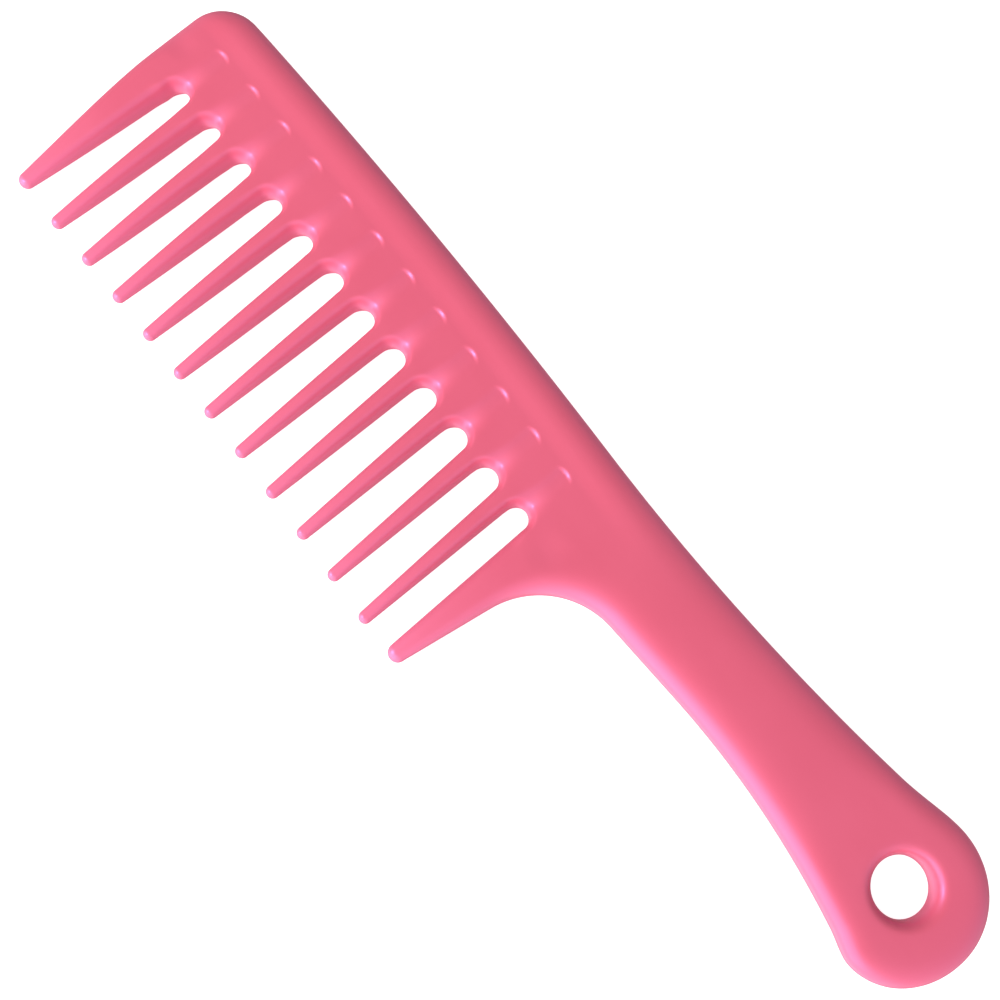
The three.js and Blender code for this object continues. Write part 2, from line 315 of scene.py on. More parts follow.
def neck_fillet():
    points = arc(*NECK_CENTRE, NECK_RADIUS, NECK_RADIUS, NECK_START_ANGLE, 90, BEND_STEP)
    share = smoothstep(np.linspace(0, 1, len(points)), 0, 1)
    rounding = lerp(GUARD_EDGE[0], HANDLE_EDGE[0], share)
    return stretch(points, rounding, lerp(TOOTH_FULLNESS, HANDLE_EDGE[1], share))


def lower_edge():
    top = NECK_CENTRE[1] + NECK_RADIUS
    count = round((BELLY_END_X - NECK_CENTRE[0]) / LONG_STEP)
    x = np.linspace(NECK_CENTRE[0], BELLY_END_X, count + 1)[1:]
    y = top - np.maximum(x - BELLY_START_X, 0) ** 2 / (2 * BELLY_RADIUS)
    to_end = smoothstep(x, *END_BLEND)
    return stretch(np.column_stack([x, y]), lerp(HANDLE_EDGE[0], HANG_END_EDGE[0], to_end), HANDLE_EDGE[1])


def handle_end(last, first):
    """The chin, the round end and the flare, from the lower edge back to the back edge."""
    slope = -(BELLY_END_X - BELLY_START_X) / BELLY_RADIUS
    chin = bezier(
        last,
        (last[0] + CHIN_REACH[0], last[1] + CHIN_REACH[0] * slope),
        (END_BOTTOM[0] - CHIN_REACH[1], END_BOTTOM[1]),
        END_BOTTOM,
        BEND_STEP,
    )
    flare = bezier(
        END_TOP,
        (END_TOP[0] - FLARE_REACH[1], END_TOP[1]),
        (first[0] + FLARE_REACH[0], float(back_y(first[0] + FLARE_REACH[0]))),
        first,
        BEND_STEP,
    )
    down, up = END_CENTRE_Y - END_BOTTOM[1], END_TOP[1] - END_CENTRE_Y
    lower = arc(END_BOTTOM[0], END_CENTRE_Y, LENGTH - END_BOTTOM[0], down, 270, 360, BEND_STEP)
    upper = arc(END_TOP[0], END_CENTRE_Y, LENGTH - END_TOP[0], up, 0, 90, BEND_STEP)
    parts = [chin[1:-1], lower[:-1], upper, flare[1:-1]]
    return [stretch(part, *HANG_END_EDGE) for part in parts]


def comb_outline():
    """The whole outline, anticlockwise, so that the plastic is on its left."""
    back = back_edge()
    parts = [back, *head_end(), round_tip(*FRONT_GUARD[:3]), guard_inner_side(FRONT_GUARD, 1)]
    for number in range(TOOTH_COUNT - 1):
        parts.append(slot_root(number))
        if number < TOOTH_COUNT - 2:
            tip_y = float(back_y(tooth_x(number + 1))) - TIP_DEPTH
            parts.append(tooth_flank(number + 1, -1))
            parts.append(round_tip(tooth_x(number + 1), tip_y, TOOTH_TIP_RADIUS))
            parts.append(tooth_flank(number + 1, 1))
    parts += [guard_inner_side(REAR_GUARD, -1), round_tip(*REAR_GUARD[:3]), rear_guard_outer_side()]
    lower = lower_edge()
    parts += [neck_fillet(), lower, *handle_end(tuple(lower[-1, :2]), tuple(back[0, :2]))]
    return np.vstack(parts)


def hole_outline():
    """The hanging hole, clockwise, so that the plastic is on its left here too."""
    points = arc(*HOLE_CENTRE, HOLE_RADIUS, HOLE_RADIUS, 360, 0, ROOT_STEP)[:-1]
    return stretch(points, *HOLE_EDGE)


def inward(loop):
    """The direction into the plastic at each point of a loop."""
    def turned(step):
        step = np.column_stack([-step[:, 1], step[:, 0]])
        return step / np.linalg.norm(step, axis=1)[:, None]

    xy = loop[:, :2]
    both = turned(xy - np.roll(xy, 1, axis=0)) + turned(np.roll(xy, -1, axis=0) - xy)
    return both / np.linalg.norm(both, axis=1)[:, None]


def edge_rings(loop):
    """Rings of points from the outline in to the flat of the face: x, y and share of the height."""
    direction = inward(loop)
    rings = []
    for level in range(EDGE_LEVELS + 1):
        angle = math.pi / 2 * level / EDGE_LEVELS
        power = 2 / loop[:, 3]
        step = loop[:, 2] * (1 - max(math.cos(angle), 0) ** power)
        rise = math.sin(angle) ** power
        rings.append(np.column_stack([loop[:, :2] + direction * step[:, None], rise]))
    return rings


# The cuts that divide the moulding.
def nearest(outline, x, y):
    return int(np.argmin(np.hypot(outline[:, 0] - x, outline[:, 1] - y)))


def tooth_name(number):
    if number == 0:
        return "front_guard_tooth"
    if number == TOOTH_COUNT - 1:
        return "rear_guard_tooth"
    return f"tooth_{number + 1:02d}"


def find_cuts(outline):
    """Each cut's two ends on the outline, the region that lies from the first end on to the second,
    and the region on its other side."""
    cuts = []
    front_y = -TOOTH_CUT_DEPTH
    front = (nearest(outline, 0, front_y), nearest(outline, FRONT_GUARD[3], front_y))
    cuts.append((*front, tooth_name(0), "back_bar"))
    for number in range(1, TOOTH_COUNT - 1):
        x, y = tooth_x(number), float(back_y(tooth_x(number))) - TOOTH_CUT_DEPTH
        half = tooth_half_width(number, TOOTH_CUT_DEPTH - ROOT_DEPTH)
        ends = (nearest(outline, x - half, y), nearest(outline, x + half, y))
        cuts.append((*ends, tooth_name(number), "back_bar"))
    angle = math.radians(REAR_GUARD_CUT_ANGLE)
    outer = (
        NECK_CENTRE[0] + NECK_RADIUS * math.cos(angle),
        NECK_CENTRE[1] + NECK_RADIUS * math.sin(angle),
    )
    rear = (nearest(outline, REAR_GUARD[3], REAR_GUARD_CUT_Y), nearest(outline, *outer))
    cuts.append((*rear, tooth_name(TOOTH_COUNT - 1), "neck"))
    neck_x = slot_middle(TOOTH_COUNT - 2)
    neck_ends = (nearest(outline, neck_x, back_y(neck_x)), nearest(outline, neck_x, root_y(neck_x)))
    cuts.append((*neck_ends, "back_bar", "neck"))
    low = NECK_CENTRE[1] + NECK_RADIUS
    grip = (nearest(outline, GRIP_X, low), nearest(outline, GRIP_X, back_y(GRIP_X)))
    cuts.append((*grip, "handle_grip", "neck"))
    hang_low = low - (HANG_END_X - BELLY_START_X) ** 2 / (2 * BELLY_RADIUS)
    hang = (nearest(outline, HANG_END_X, hang_low), nearest(outline, HANG_END_X, back_y(HANG_END_X)))
    cuts.append((*hang, "hang_end", "handle_grip"))
    return cuts


def name_stretches(count, cuts):
    """The region of each step of the outline. The wide regions are named first, and the teeth last."""
    names = np.full(count, "neck", dtype="U24")
    by_region = {cut[2]: cut for cut in cuts}
    wide = ["back_bar", "handle_grip", "hang_end"]
    for region in wide + [tooth_name(number) for number in range(TOOTH_COUNT)]:
        start, end, _, _ = by_region[region]
        steps = np.arange(start, end if end > start else end + count) % count
        names[steps] = region
    return names


# The filled face inside the rings.
def inside(points, loops):
    """Which points lie inside the loops."""
    crossings = np.zeros(len(points), int)
    for loop in loops:
        ends = np.roll(loop, -1, axis=0)
        for (x0, y0), (x1, y1) in zip(loop, ends):
            if y0 == y1:
                continue
            spans = (points[:, 1] > min(y0, y1)) & (points[:, 1] <= max(y0, y1))
            at = x0 + (points[:, 1] - y0) * (x1 - x0) / (y1 - y0)
            crossings += spans & (at > points[:, 0])
    return crossings % 2 == 1


def staggered(low, high, step):
    rows = []
    for k, y in enumerate(np.arange(low[1], high[1], step * math.sqrt(0.75))):
        x = np.arange(low[0] + (k % 2) * step / 2, high[0], step)
        rows.append(np.column_stack([x, np.full(len(x), y)]))
    return np.vstack(rows)


def face_points(loops, fixed):
    """Points over the face, close together over the web and the flutes' end walls."""
    floor = REAR_GUARD[1]
    everywhere = staggered((0, floor), (LENGTH, 0), PLAIN_STEP)
    web = staggered((0, floor), (REAR_GUARD[3] + WEB_PAST_ROW, 0), WEB_STEP)
    depth = back_y(web[:, 0]) - web[:, 1]
    web = web[(depth > SPINE_END) & (depth < TOOTH_CUT_DEPTH + WEB_PAST_CUTS)]
    walls = []
    reach = FLUTE_HALF_WIDTH + WALL_BAND_SIDE
    for number in range(TOOTH_COUNT - 1):
        x = slot_middle(number)
        top = float(back_y(x)) - FLUTE_START
        low, high = (x - reach, top - WALL_BAND_BELOW), (x + reach, top + WALL_BAND_ABOVE)
        walls.append(staggered(low, high, WALL_STEP))
    groups = [(np.vstack(walls), WALL_STEP), (web, WEB_STEP), (everywhere, PLAIN_STEP)]
    kept = np.array(fixed)
    chosen = []
    for points, step in groups:
        points = points[inside(points, loops)]
        tree = KDTree(len(kept))
        for k, point in enumerate(kept):
            tree.insert((point[0], point[1], 0), k)
        tree.balance()
        gaps = np.array([tree.find((x, y, 0))[2] for x, y in points])
        points = points[gaps > step * CLOSEST_SHARE]
        chosen.append(points)
        kept = np.vstack([kept, points])
    return np.vstack(chosen)


def fill_face(inner_loops, cuts):
    """Triangles over the face. Gives its points, its triangles, the edges that bound its regions and
    each cut's points. The first points are the innermost rings', loop by loop."""
    counts = [len(loop) for loop in inner_loops]
    rim = np.vstack(inner_loops)
    edges = []
    start = 0
    for count in counts:
        edges += [(start + k, start + (k + 1) % count) for k in range(count)]
        start += count
    extra = []
    cut_paths = []
    for first, last, _, _ in cuts:
        length = math.dist(rim[first], rim[last])
        count = max(round(length / WEB_STEP), 1)
        between = [lerp(rim[first], rim[last], k / count) for k in range(1, count)]
        numbers = [len(rim) + len(extra) + k for k in range(len(between))]
        extra += between
        path = [first, *numbers, last]
        edges += list(zip(path, path[1:]))
        cut_paths.append(path)
    fixed = np.vstack([rim, np.array(extra)])
    points = np.vstack([fixed, face_points(inner_loops, fixed)])
    found = delaunay_2d_cdt([Vector(p) for p in points], edges, [], 0, WELD_DISTANCE)
    if len(found[0]) != len(points):
        raise ValueError("the face's edges cross each other")
    number = [origin[0] for origin in found[3]]
    triangles = np.array([[number[v] for v in triangle] for triangle in found[2]])
    return points, triangles, edges, cut_paths


def name_triangles(triangles, edges, rim_names, counts):
    """The region of each triangle inside the rings, spread from the named rim across open edges."""
    barriers = {frozenset(edge) for edge in edges}
    sides = {}
    for k, (a, b, c) in enumerate(triangles):
        for edge in ((a, b), (b, c), (c, a)):
            sides[edge] = k
    names = [None] * len(triangles)
    waiting = []
    start = 0
    for count, loop_names in zip(counts, rim_names):
        for k in range(count):
            triangle = sides[(start + k, start + (k + 1) % count)]
            names[triangle] = loop_names[k]
            waiting.append(triangle)
        start += count
    while waiting:
        triangle = waiting.pop()
        a, b, c = triangles[triangle]
        for edge in ((a, b), (b, c), (c, a)):
            neighbour = sides.get((edge[1], edge[0]))
            if neighbour is None or names[neighbour] or frozenset(edge) in barriers:
                continue
            names[neighbour] = names[triangle]
            waiting.append(neighbour)
    return names


class CombSkin:
    """The comb's skin before its height is given: points, faces and their regions."""

    def __init__(self):
        outline = comb_outline()
        loops = [outline, hole_outline()]
        self.cuts = find_cuts(outline)
        self.counts = [len(loop) for loop in loops]
        self.rings = [edge_rings(loop) for loop in loops]
        rim_names = [name_stretches(len(outline), self.cuts), np.full(len(loops[1]), "hang_end")]
        inner = [ring[-1][:, :2] for ring in self.rings]
        points, triangles, edges, self.cut_paths = fill_face(inner, self.cuts)
        names = name_triangles(triangles, edges, rim_names, self.counts)
        self.rim_count = sum(self.counts)
        self.face_extra = points[self.rim_count :]
        self.place_points()
        self.faces = []
        self.names = []
        self.add_edges(rim_names)
        self.add_face(triangles, names)

    def place_points(self):
        """Numbers every point: the equator, then the levels above it, then the same below it."""
        levels = [np.vstack([ring[level] for ring in self.rings]) for level in range(EDGE_LEVELS + 1)]
        flat = np.column_stack([self.face_extra, np.ones(len(self.face_extra))])
        side = np.vstack([*levels[1:], flat])
        mirrored = side * [1, 1, -1]
        self.points = np.vstack([levels[0], side, mirrored])
        self.side_count = len(side)

    def number(self, level, rim, up):
        """The point on a level of the rim, on the upper or the lower side."""
        if level == 0:
            return rim
        start = self.rim_count + (0 if up else self.side_count)
        return start + (level - 1) * self.rim_count + rim

    def face_number(self, point, up):
        """The point on the filled face, on the upper or the lower side."""
        return self.number(EDGE_LEVELS, point, up)

    def add_edges(self, rim_names):
        start = 0
        for count, loop_names in zip(self.counts, rim_names):
            for k in range(count):
                here, after = start + k, start + (k + 1) % count
                for level in range(EDGE_LEVELS):
                    for up in (True, False):
                        corners = [
                            self.number(level, here, up),
                            self.number(level, after, up),
                            self.number(level + 1, after, up),
                            self.number(level + 1, here, up),
                        ]
                        self.faces.append(corners if up else corners[::-1])
                        self.names.append(loop_names[k])
            start += count

    def add_face(self, triangles, names):
        for triangle, name in zip(triangles, names):
            if name is None:
                continue
            for up in (True, False):
                corners = [self.face_number(point, up) for point in triangle]
                self.faces.append(corners if up else corners[::-1])
                self.names.append(name)

    def cut_walls(self, number):
        """The faces that close the second region at a cut. Reversed, they close the first."""
        first, last, _, _ = self.cuts[number]
        levels = range(EDGE_LEVELS)
        path = self.cut_paths[number]

        def side(up):
            down_first = [self.number(level, first, up) for level in levels]
            along = [self.face_number(point, up) for point in path]
            down_last = [self.number(level, last, up) for level in reversed(levels)]
            return down_first + along + down_last

        upper, lower = side(True), side(False)
        walls = []
        for k in range(len(upper) - 1):
            corners = [lower[k], lower[k + 1], upper[k + 1], upper[k]]
            walls.append(list(dict.fromkeys(corners)))
        return walls


# The height of the skin, by rule.
def skin_fields(points):
    """What the height depends on at each point, in metres or as shares."""
    x, y, rise = points.T
    middles = np.array([slot_middle(number) for number in range(TOOTH_COUNT - 1)])
    across = np.abs(x[:, None] - middles[None, :]).min(axis=1)
    sink = np.zeros(len(x))
    for sink_x, sink_y, radius in SINKS:
        sink += 1 - smoothstep(np.hypot(x - sink_x, y - sink_y), 0, radius)
    return {
        "rise": rise,
        "depth": (back_y(x) - y) * MM,
        "across": across * MM,
        "over_teeth": 1 - smoothstep(x, REAR_GUARD[0], NECK_CENTRE[0]),
        "sink": sink,
    }


class Tree:
    """A small helper that adds nodes and joins them."""

    def __init__(self, tree):
        self.tree = tree

    def add(self, kind, inputs=None, **settings):
        node = self.tree.nodes.new(kind)
        for name, value in settings.items():
            setattr(node, name, value)
        for name, value in (inputs or {}).items():
            self.join(value, node.inputs[name])
        return node

    def join(self, value, socket):
        if isinstance(value, bpy.types.NodeSocket):
            self.tree.links.new(value, socket)
        else:
            socket.default_value = value

    def math(self, operation, *values):
        node = self.add("ShaderNodeMath", operation=operation)
        for k, value in enumerate(values):
            self.join(value, node.inputs[k])
        return node.outputs[0]

    def field(self, name):
        """A value that is stored at each point of the skin."""
        node = self.add("GeometryNodeInputNamedAttribute", {"Name": name}, data_type="FLOAT")
        return node.outputs["Attribute"]

    def spread(self, value, span, onto=(0.0, 1.0), kind="LINEAR"):
        """The value's place in a span, held to its ends and laid onto another span."""
        node = self.add("ShaderNodeMapRange", interpolation_type=kind)
        for name, given in zip(("Value", "From Min", "From Max", "To Min", "To Max"), (value, *span, *onto)):
            self.join(given, node.inputs[name])
        return node.outputs["Result"]

    def ease(self, value, low, high):
        """0 below low, 1 above high, and a smooth rise between them."""
        return self.spread(value, (low, high), kind="SMOOTHSTEP")


SKIN_INPUTS = {
    "Mid Height": (CAD_LOW.z + CAD_HIGH.z) / 2 / MM,
    "Half Thickness": HALF_THICKNESS,
    "Web Half Thickness": WEB_HALF_THICKNESS,
    "Tip Half Thickness": TIP_HALF_THICKNESS,
    "Spine End": SPINE_END,
    "Web Start": WEB_START,
    "Root Depth": ROOT_DEPTH,
    "Tip Depth": TIP_DEPTH,
    "Flute Start": FLUTE_START,
    "Flute Wall": FLUTE_WALL,
    "Flute Depth": FLUTE_DEPTH,
    "Flute Roll Start": FLUTE_ROLL_START,
    "Flute Root Depth": FLUTE_ROOT_DEPTH,
    "Flute Flat Half Width": FLUTE_FLAT_HALF_WIDTH,
    "Flute End Half Width": FLUTE_END_HALF_WIDTH,
    "Flute Half Width": FLUTE_HALF_WIDTH,
    "Flute Run Out": FLUTE_RUN_OUT,
    "Sink Depth": SINK_DEPTH,
}


def web_and_taper(tree, given, depth):
    """How far a face falls from the spine to the web, and along a tooth to its tip."""
    web_fall = tree.math("SUBTRACT", given["Half Thickness"], given["Web Half Thickness"])
    web = tree.math("MULTIPLY", web_fall, tree.ease(depth, given["Spine End"], given["Web Start"]))
    tip_fall = tree.math("SUBTRACT", given["Web Half Thickness"], given["Tip Half Thickness"])
    down_tooth = tree.spread(depth, (given["Root Depth"], given["Tip Depth"]))
    taper = tree.math("MULTIPLY", tip_fall, tree.math("POWER", down_tooth, TAPER_POWER))
    return tree.math("ADD", web, taper)


def flute(tree, given, depth):
    """How far a face falls in a flute: a bowed end wall, then a roll down to the slot's root."""
    across = tree.field("across")
    bow = tree.math("MULTIPLY", FLUTE_BOW / MM, tree.math("POWER", across, 2.0))
    bowed = tree.math("SUBTRACT", depth, bow)
    wall_end = tree.math("ADD", given["Flute Start"], given["Flute Wall"])
    wall = tree.math("MULTIPLY", given["Flute Depth"], tree.ease(bowed, given["Flute Start"], wall_end))
    down_roll = tree.spread(depth, (given["Flute Roll Start"], given["Root Depth"]))
    roll_fall = tree.math("SUBTRACT", given["Flute Root Depth"], given["Flute Depth"])
    rolled = tree.math("MULTIPLY", roll_fall, tree.math("POWER", down_roll, FLUTE_ROLL_POWER))

    flat = given["Flute Flat Half Width"]
    end_width = tree.math("SUBTRACT", 1.0, tree.ease(across, flat, given["Flute End Half Width"]))
    full_width = tree.math("SUBTRACT", 1.0, tree.ease(across, flat, given["Flute Half Width"]))
    scooped = tree.math("MULTIPLY", wall, end_width)
    fall = tree.math("ADD", scooped, tree.math("MULTIPLY", rolled, full_width))
    run_out_end = tree.math("ADD", given["Root Depth"], given["Flute Run Out"])
    run_out = tree.math("SUBTRACT", 1.0, tree.ease(depth, given["Root Depth"], run_out_end))
    return tree.math("MULTIPLY", fall, run_out)


def skin_height_tree(material):
    """Raises the flat skin: a spine, a web, tapered teeth, a flute above each slot and two sinks."""
    group = bpy.data.node_groups.new("comb skin height", "GeometryNodeTree")
    group.is_modifier = True
    face = group.interface
    face.new_socket("Skin", in_out="INPUT", socket_type="NodeSocketGeometry")
    face.new_socket("Skin", in_out="OUTPUT", socket_type="NodeSocketGeometry")
    for name in SKIN_INPUTS:
        face.new_socket(name, in_out="INPUT", socket_type="NodeSocketFloat")
    tree = Tree(group)
    given = tree.add("NodeGroupInput").outputs

    depth, rise = tree.field("depth"), tree.field("rise")
    fall = tree.math("ADD", web_and_taper(tree, given, depth), flute(tree, given, depth))
    fall = tree.math("MULTIPLY", fall, tree.field("over_teeth"))
    sink = tree.math("MULTIPLY", tree.field("sink"), given["Sink Depth"])
    half = tree.math("SUBTRACT", tree.math("SUBTRACT", given["Half Thickness"], fall), sink)
    height = tree.math("MULTIPLY_ADD", half, rise, given["Mid Height"])
    place = tree.add("ShaderNodeSeparateXYZ", {"Vector": tree.add("GeometryNodeInputPosition").outputs[0]})
    moved = tree.add(
        "ShaderNodeCombineXYZ", {"X": place.outputs["X"], "Y": place.outputs["Y"], "Z": height}
    )
    raised = tree.add(
        "GeometryNodeSetPosition", {"Geometry": given["Skin"], "Position": moved.outputs[0]}
    )
    local_half = tree.math("ABSOLUTE", tree.math("MULTIPLY", half, rise))
    share = tree.math("DIVIDE", local_half, given["Half Thickness"])
    marked = tree.add(
        "GeometryNodeStoreNamedAttribute",
        {"Geometry": raised.outputs[0], "Name": "thickness", "Value": share},
        data_type="FLOAT",
        domain="POINT",
    )
    whole = tree.add("GeometryNodeRealizeInstances", {"Geometry": marked.outputs[0]})
    finished = tree.add("GeometryNodeSetMaterial", {"Geometry": whole.outputs[0], "Material": material})
    result = tree.add("NodeGroupOutput")
    tree.join(finished.outputs[0], result.inputs[0])
    return group


def raised_skin(skin, material):
    """The whole skin with its height, as a plain mesh."""
    mesh = bpy.data.meshes.new("comb skin")
    flat = np.zeros((len(skin.points), 3))
    flat[:, 0] = CAD_LOW.x + skin.points[:, 0] * MM
    flat[:, 1] = CAD_HIGH.y + skin.points[:, 1] * MM
    mesh.from_pydata(flat.tolist(), [], skin.faces)
    for name, values in skin_fields(skin.points).items():
        mesh.attributes.new(name, "FLOAT", "POINT").data.foreach_set("value", values.astype(np.float32))
    holder = bpy.data.objects.new("comb skin", mesh)
    bpy.context.scene.collection.objects.link(holder)
    modifier = holder.modifiers.new("height", "NODES")
    modifier.node_group = skin_height_tree(material)
    for item in modifier.node_group.interface.items_tree:
        if item.in_out == "INPUT" and item.name in SKIN_INPUTS:
            modifier[item.identifier] = SKIN_INPUTS[item.name] * MM
    bpy.context.view_layer.update()
    view = bpy.context.evaluated_depsgraph_get()
    raised = bpy.data.meshes.new_from_object(holder.evaluated_get(view))
    bpy.data.objects.remove(holder)
    return raised


def read(collection, name, width):
    values = np.zeros(len(collection) * width, np.float32)
    collection.foreach_get(name, values)
    return values.reshape(-1, width) if width > 1 else values


def comb_piece(name, skin, places, normals, thickness, material):
    """One region of the comb as a closed piece. Its smooth skin keeps the whole comb's normals, so
    that no line shows where two regions meet."""
    faces = [face for face, region in zip(skin.faces, skin.names) if region == name]
    skin_faces = len(faces)
    for number, (_, _, first_region, second_region) in enumerate(skin.cuts):
        if name == second_region:
            faces += skin.cut_walls(number)
        if name == first_region:
            faces += [wall[::-1] for wall in skin.cut_walls(number)]
    used = sorted({corner for face in faces for corner in face})
    order = {corner: k for k, corner in enumerate(used)}
    mesh = bpy.data.meshes.new(name + "_moulded")
    mesh.from_pydata(places[used].tolist(), [], [[order[corner] for corner in face] for face in faces])
    mesh.attributes.new("thickness", "FLOAT", "POINT").data.foreach_set("value", thickness[used])
    mesh.materials.append(material)
    mesh.polygons.foreach_set("use_smooth", np.ones(len(faces), bool))
    corner_normals = []
    for k, face in enumerate(faces):
        if k < skin_faces:
            corner_normals += [tuple(normals[corner]) for corner in face]
        else:
            corner_normals += [tuple(mesh.polygons[k].normal)] * len(face)
    mesh.normals_split_custom_set(corner_normals)
    piece = bpy.data.objects.new(name + "_moulded", mesh)
    bpy.context.scene.collection.objects.link(piece)
    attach(piece, "root")
    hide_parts(name)


def make_comb(material):
    skin = CombSkin()
    raised = raised_skin(skin, material)
    places = read(raised.vertices, "co", 3)
    normals = read(raised.vertex_normals, "vector", 3)
    thickness = read(raised.attributes["thickness"].data, "value", 1)
    names = ["back_bar", "neck", "handle_grip", "hang_end"]
    names += [tooth_name(number) for number in range(TOOTH_COUNT)]
    for name in names:
        comb_piece(name, skin, places, normals, thickness, material)
    bpy.data.meshes.remove(raised)


# The finish, with a painted glow where the plastic is thin.
PINK = (0.69, 0.111, 0.163, 1)
PINK_DEEP = (0.67, 0.104, 0.153, 1)
# The lighter pink for thin plastic and its span below are painted light: a glow that stands in for light
# shining through the thin plastic.
PINK_THIN_PAINTED_GLOW = (0.74, 0.145, 0.235, 1)
THIN_GLOW_SHARES = (0.35, 0.95)
FLOW_SCALE = (40.0, 90.0, 90.0)
GLOSS_TINT = (0.5, 0.42, 1.0, 1)
GLOSS_IOR = 1.85
ROUGHNESS = (0.31, 0.37)
SMEAR_SCALE = 140.0
PEEL_SCALE = 900.0
PEEL_STRENGTH = 0.08
SCRATCH_SCALE = (60.0, 1400.0, 1400.0)
SCRATCH_EDGE = (0.66, 0.72)
SCRATCH_STRENGTH = 0.02
MARK_HEIGHT = 0.0001
NOISE_SPAN = (0.3, 0.7)


def pink_flow_and_painted_glow(tree, place):
    """Pink with a trace of the plastic's flow along the comb, and lighter where it is thin: this lightening
    is a painted glow that stands in for light shining through the thin plastic.
    """
    flow = tree.add("ShaderNodeMapping", {"Vector": place, "Scale": FLOW_SCALE})
    swirl = tree.add("ShaderNodeTexNoise", {"Vector": flow.outputs[0], "Scale": 1.0, "Detail": 3.0})
    mottle = tree.add("ShaderNodeMix", {"Factor": tree.ease(swirl.outputs[0], *NOISE_SPAN)}, data_type="RGBA")
    tree.join(PINK_DEEP, mottle.inputs[6])
    tree.join(PINK, mottle.inputs[7])
    thickness = tree.add("ShaderNodeAttribute", attribute_name="thickness").outputs["Fac"]
    # Painted glow: the colour turns lighter as the plastic thins, in place of light shining through it.
    painted_glow_share = tree.math("SUBTRACT", 1.0, tree.spread(thickness, THIN_GLOW_SHARES))
    colour = tree.add("ShaderNodeMix", {"Factor": painted_glow_share}, data_type="RGBA")
    tree.join(mottle.outputs[2], colour.inputs[6])
    tree.join(PINK_THIN_PAINTED_GLOW, colour.inputs[7])
    return colour.outputs[2]


def handled_gloss(tree, place):
    """Roughness with faint smears from hands."""
    smears = tree.add("ShaderNodeTexNoise", {"Vector": place, "Scale": SMEAR_SCALE, "Detail": 4.0})
    return tree.spread(smears.outputs[0], NOISE_SPAN, ROUGHNESS)


def peel_and_scratches(tree, place):
    """Fine orange peel all over, and a few scratches along the comb."""
    peel = tree.add("ShaderNodeTexNoise", {"Vector": place, "Scale": PEEL_SCALE, "Detail": 2.0})
    stretched = tree.add("ShaderNodeMapping", {"Vector": place, "Scale": SCRATCH_SCALE})
    scratches = tree.add("ShaderNodeTexNoise", {"Vector": stretched.outputs[0], "Scale": 1.0, "Detail": 1.0})
    lines = tree.ease(scratches.outputs[0], *SCRATCH_EDGE)
    peel_bump = tree.add(
        "ShaderNodeBump",
        {"Strength": PEEL_STRENGTH, "Distance": MARK_HEIGHT, "Height": peel.outputs[0]},
    )
    line_bump = tree.add(
        "ShaderNodeBump",
        {
            "Strength": SCRATCH_STRENGTH,
            "Distance": MARK_HEIGHT,
            "Height": lines,
            "Normal": peel_bump.outputs[0],
        },
        invert=True,
    )
    return line_bump.outputs[0]


def glossy_pink_plastic():
    material = bpy.data.materials.new("glossy pink plastic")
    material.use_nodes = True
    tree = Tree(material.node_tree)
    tree.tree.nodes.clear()
    place = tree.add("ShaderNodeTexCoord").outputs["Object"]
    shader = tree.add(
        "ShaderNodeBsdfPrincipled",
        {
            "Base Color": pink_flow_and_painted_glow(tree, place),
            "Roughness": handled_gloss(tree, place),
            "Normal": peel_and_scratches(tree, place),
            "IOR": GLOSS_IOR,
            "Specular Tint": GLOSS_TINT,
        },
    )
    out = tree.add("ShaderNodeOutputMaterial")
    tree.join(shader.outputs[0], out.inputs["Surface"])
    return material


# The setting: a pale table, soft light from the teeth's side, and the camera.
TARGET = Vector((-0.0016, 0.00395, 0.004))
CAMERA_AZIMUTH = 40.34
CAMERA_ELEVATION = 78.18
CAMERA_ROLL = 8.4
CAMERA_DISTANCE = 0.2669
LENS = 50.0
WALL_DIRECTION = Vector((-0.15, -0.98, -0.1))
WALL_EDGE = (0.25, 0.5)
WALL_LIGHT = 0.93
GLOW_DIRECTION = Vector((-0.2, -0.85, 0.35))
GLOW_EDGE = (0.7, 0.9)
GLOW_LIGHT = 2.15
FILL_DIRECTION = Vector((0.9, -0.2, 0.3))
FILL_EDGE = (0.3, 0.9)
FILL_LIGHT = 0.7
ROOM_EDGE = (-0.5, 0.2)
ROOM_LIGHT = 0.36
PAPER_EDGE = (0.0, 0.4)
PAPER_LIGHT = 0.2
LAMP_COLOUR = (1.0, 0.98, 1.0)
BACKDROP = (0.93, 0.93, 0.94, 1)
WINDOW_PLACE = Vector((-0.16, -0.26, 0.24))
WINDOW_SIZE = (0.12, 0.12)
WINDOW_POWER = 0.6
TABLE_GREY = (0.5, 0.5, 0.5, 1)
TABLE_GLOW = 0.92
TABLE_ROUGHNESS = 0.9
TABLE_GLOSS = 0.1
TABLE_REACH = 3.0
TABLE_GAP = 0.0001


def pale_table():
    material = bpy.data.materials.new("white table")
    material.use_nodes = True
    shader = material.node_tree.nodes["Principled BSDF"]
    shader.inputs["Base Color"].default_value = TABLE_GREY
    shader.inputs["Roughness"].default_value = TABLE_ROUGHNESS
    shader.inputs["Specular IOR Level"].default_value = TABLE_GLOSS
    shader.inputs["Emission Color"].default_value = (1, 1, 1, 1)
    shader.inputs["Emission Strength"].default_value = TABLE_GLOW
    mesh = bpy.data.meshes.new("table")
    height = CAD_LOW.z - TABLE_GAP
    turns = ((-1, -1), (1, -1), (1, 1), (-1, 1))
    mesh.from_pydata([(x * TABLE_REACH, y * TABLE_REACH, height) for x, y in turns], [], [(0, 1, 2, 3)])
    mesh.materials.append(material)
    table = bpy.data.objects.new("table", mesh)
    bpy.context.scene.collection.objects.link(table)
    table.visible_glossy = False


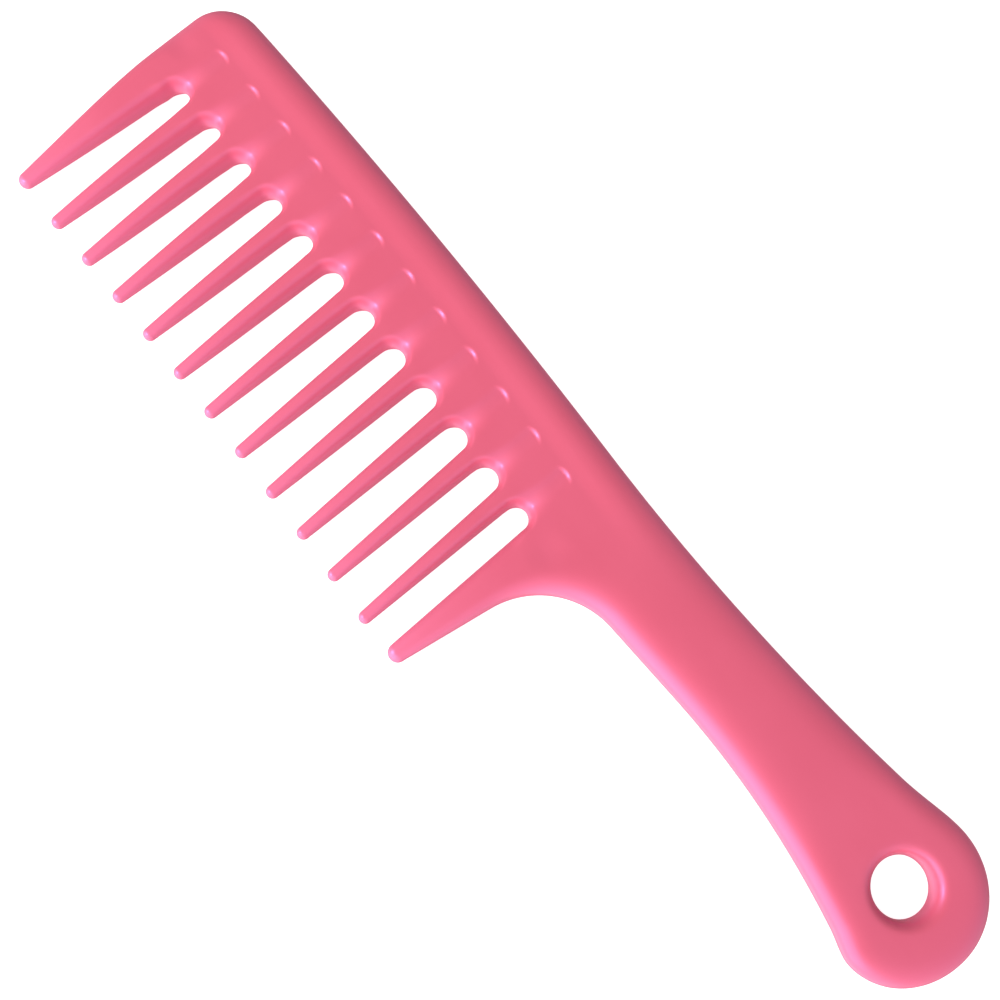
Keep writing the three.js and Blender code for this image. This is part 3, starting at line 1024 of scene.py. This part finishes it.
def window_light():
    light = bpy.data.lights.new("window", "AREA")
    light.shape = "RECTANGLE"
    light.size, light.size_y = WINDOW_SIZE
    light.energy = WINDOW_POWER
    light.color = LAMP_COLOUR
    lamp = bpy.data.objects.new("window", light)
    lamp.location = TARGET + WINDOW_PLACE
    lamp.rotation_mode = "QUATERNION"
    lamp.rotation_quaternion = (-WINDOW_PLACE).to_track_quat("-Z", "Y")
    bpy.context.scene.collection.objects.link(lamp)


def studio_light():
    """A broad bright wall on the teeth's side with a brighter part at lamp height, a weaker fill from
    the handle's end, a dim room above and white paper below, behind a plain backdrop."""
    world = bpy.data.worlds.new("studio")
    world.use_nodes = True
    tree = Tree(world.node_tree)
    tree.tree.nodes.clear()
    direction = tree.add("ShaderNodeTexCoord").outputs["Generated"]

    def lit_part(towards, edge, light):
        facing = tree.add("ShaderNodeVectorMath", operation="DOT_PRODUCT")
        tree.join(direction, facing.inputs[0])
        tree.join(towards.normalized(), facing.inputs[1])
        return tree.math("MULTIPLY", light, tree.ease(facing.outputs["Value"], *edge))

    wall = lit_part(WALL_DIRECTION, WALL_EDGE, WALL_LIGHT)
    glow = lit_part(GLOW_DIRECTION, GLOW_EDGE, GLOW_LIGHT)
    paper = lit_part(Vector((0, 0, -1)), PAPER_EDGE, PAPER_LIGHT)
    fill = lit_part(FILL_DIRECTION, FILL_EDGE, FILL_LIGHT)
    room = lit_part(Vector((0, 0, 1)), ROOM_EDGE, ROOM_LIGHT)
    strength = wall
    for part in (glow, fill, room, paper):
        strength = tree.math("ADD", strength, part)
    lit = tree.add("ShaderNodeBackground", {"Color": (*LAMP_COLOUR, 1), "Strength": strength})
    plain = tree.add("ShaderNodeBackground", {"Color": BACKDROP, "Strength": 1.0})
    seen = tree.add("ShaderNodeLightPath").outputs["Is Camera Ray"]
    both = tree.add("ShaderNodeMixShader")
    tree.join(seen, both.inputs[0])
    tree.join(lit.outputs[0], both.inputs[1])
    tree.join(plain.outputs[0], both.inputs[2])
    out = tree.add("ShaderNodeOutputWorld")
    tree.join(both.outputs[0], out.inputs["Surface"])
    bpy.context.scene.world = world


def make_camera():
    azimuth, elevation = math.radians(CAMERA_AZIMUTH), math.radians(CAMERA_ELEVATION)
    flat = math.cos(elevation)
    back = Vector((math.sin(azimuth) * flat, -math.cos(azimuth) * flat, math.sin(elevation)))
    lens = bpy.data.cameras.new("camera")
    lens.lens = LENS
    lens.clip_start = 0.01
    camera = bpy.data.objects.new("camera", lens)
    camera.location = TARGET + back * CAMERA_DISTANCE
    camera.rotation_mode = "QUATERNION"
    level = (-back).to_track_quat("-Z", "Y")
    camera.rotation_quaternion = level @ Quaternion((0, 0, 1), math.radians(CAMERA_ROLL))
    bpy.context.scene.collection.objects.link(camera)
    bpy.context.scene.camera = camera


bpy.context.scene.view_settings.view_transform = "Standard"
make_camera()
make_comb(glossy_pink_plastic())
pale_table()
window_light()
studio_light()
